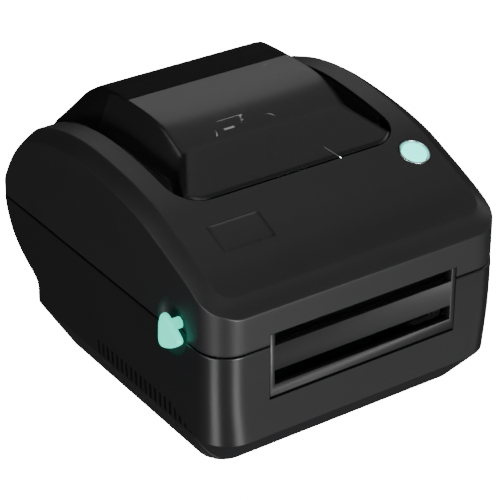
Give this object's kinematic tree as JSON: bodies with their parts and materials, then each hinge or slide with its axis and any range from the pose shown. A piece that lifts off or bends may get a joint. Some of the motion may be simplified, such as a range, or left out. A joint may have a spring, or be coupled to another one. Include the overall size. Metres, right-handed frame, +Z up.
{
  "type": "thermal label printer",
  "caption": "Clamshell desktop direct thermal label printer with hinged lid, smoke window over the label roll, front label and liner slots, side latches and a feed button.",
  "frame": {"origin": "middle of the bounding box's underside, on the surface that the rubber feet stand on", "axes": "+Z up, +X to the right seen from the front, +Y from the front with the label slot to the rear with the hinge"},
  "size_m": [0.1944, 0.224, 0.1552],
  "materials": {
    "black_abs": "fine satin moulded ABS",
    "dark_abs": "moulded ABS",
    "smoke_window": "smoke-tinted polished acrylic",
    "teal_abs": "satin teal ABS",
    "steel": "plated steel",
    "rubber": "ground silicone rubber",
    "circuit_board": "solder-masked glass epoxy",
    "acetal": "moulded acetal",
    "name_plate_black": "blank satin plate"
  },
  "bodies": {
    "base": {"base_housing": "black_abs", "base_plate": "dark_abs", "front_bezel": "black_abs", "tear_bar": "steel", "media_chassis": "dark_abs", "main_board": "circuit_board", "dc_inlet": "dark_abs", "usb_port": "steel", "switch_housing": "dark_abs", "gap_sensor": "dark_abs", "plate_screw_1": "steel", "plate_screw_2": "steel", "plate_screw_3": "steel", "plate_screw_4": "steel", "foot_1": "rubber", "foot_2": "rubber", "foot_3": "rubber", "foot_4": "rubber", "stepper_motor": "steel", "idler_axle": "steel", "platen_bush_left": "acetal", "platen_bush_right": "acetal", "hinge_bracket_left": "steel", "hinge_bracket_right": "steel", "hinge_pin_left": "steel", "hinge_pin_right": "steel"},
    "lid": {"lid_shell": "black_abs", "roll_window": "smoke_window", "rear_cap": "black_abs", "lid_frame": "dark_abs", "button_ring": "dark_abs", "button_board": "circuit_board", "name_plate": "name_plate_black", "media_sensor": "dark_abs", "hinge_knuckle_left": "steel", "hinge_knuckle_right": "steel", "head_spring_left": "steel", "head_spring_right": "steel"},
    "latch": {"latch_rod": "steel", "latch_hook_left": "steel", "latch_hook_right": "steel", "latch_paddle_left": "teal_abs", "latch_paddle_right": "teal_abs"},
    "button": {"feed_button": "teal_abs"},
    "head": {"print_head": "steel"},
    "platen": {"platen_roller": "rubber", "platen_shaft": "steel", "platen_gear": "acetal"},
    "idler": {"idler_gear": "acetal"},
    "pinion": {"motor_pinion": "steel"},
    "guide_left": {"media_guide_left": "dark_abs"},
    "guide_right": {"media_guide_right": "dark_abs"},
    "hub_left": {"roll_hub_left": "acetal"},
    "hub_right": {"roll_hub_right": "acetal"},
    "guide_gear": {"guide_pinion": "acetal"},
    "rocker": {"power_rocker": "black_abs"}
  },
  "joints": [
    {"name": "lid_hinge", "type": "hinge", "parent": "base", "child": "lid", "pos_m": [0, 0.1094, 0.078], "axis": [-1, 0, 0], "range_deg": [0, 85]},
    {"name": "latch_turn", "type": "hinge", "parent": "lid", "child": "latch", "pos_m": [0, -0.0725, 0.082], "axis": [1, 0, 0], "range_deg": [0, 20], "stiffness_Nm_per_rad": 0.15, "springref_deg": -17.19},
    {"name": "feed_press", "type": "slide", "parent": "lid", "child": "button", "axis": [0, 0.3665, -0.9304], "range_m": [0, 0.0008], "stiffness_N_per_m": 1500, "springref_m": -0.0006},
    {"name": "head_float", "type": "slide", "parent": "lid", "child": "head", "axis": [0, 0, 1], "range_m": [0, 0.0015], "stiffness_N_per_m": 3000, "springref_m": -0.003, "deforming": ["head_spring_left", "head_spring_right"]},
    {"name": "platen_spin", "type": "hinge", "parent": "base", "child": "platen", "pos_m": [0, -0.095, 0.072], "axis": [1, 0, 0], "continuous": true},
    {"name": "idler_spin", "type": "hinge", "parent": "base", "child": "idler", "pos_m": [0.0814, -0.0838, 0.0526], "axis": [1, 0, 0], "continuous": true},
    {"name": "pinion_spin", "type": "hinge", "parent": "base", "child": "pinion", "pos_m": [0.0814, -0.06847, 0.04105], "axis": [1, 0, 0], "continuous": true},
    {"name": "guide_left_slide", "type": "slide", "parent": "base", "child": "guide_left", "axis": [1, 0, 0], "range_m": [-0.005, 0.036]},
    {"name": "guide_right_slide", "type": "slide", "parent": "base", "child": "guide_right", "axis": [-1, 0, 0], "range_m": [-0.005, 0.036]},
    {"name": "guide_pinion_turn", "type": "hinge", "parent": "base", "child": "guide_gear", "pos_m": [0, 0.022, 0.024], "axis": [0, 0, 1], "range_deg": [-36, 258]},
    {"name": "hub_left_spin", "type": "hinge", "parent": "guide_left", "child": "hub_left", "pos_m": [-0.051, 0.022, 0.091], "axis": [1, 0, 0], "continuous": true},
    {"name": "hub_right_spin", "type": "hinge", "parent": "guide_right", "child": "hub_right", "pos_m": [0.051, 0.022, 0.091], "axis": [1, 0, 0], "continuous": true},
    {"name": "rocker_tilt", "type": "hinge", "parent": "base", "child": "rocker", "pos_m": [0.054, 0.0746, 0.032], "axis": [1, 0, 0], "range_deg": [0, 10]}
  ],
  "couplings": [
    {"joint": "idler_spin", "follows": "platen_spin", "ratio": -0.75},
    {"joint": "pinion_spin", "follows": "platen_spin", "ratio": 1.5},
    {"joint": "guide_right_slide", "follows": "guide_left_slide", "ratio": 1},
    {"joint": "guide_pinion_turn", "follows": "guide_left_slide", "rad_per_m": 125}
  ]
}
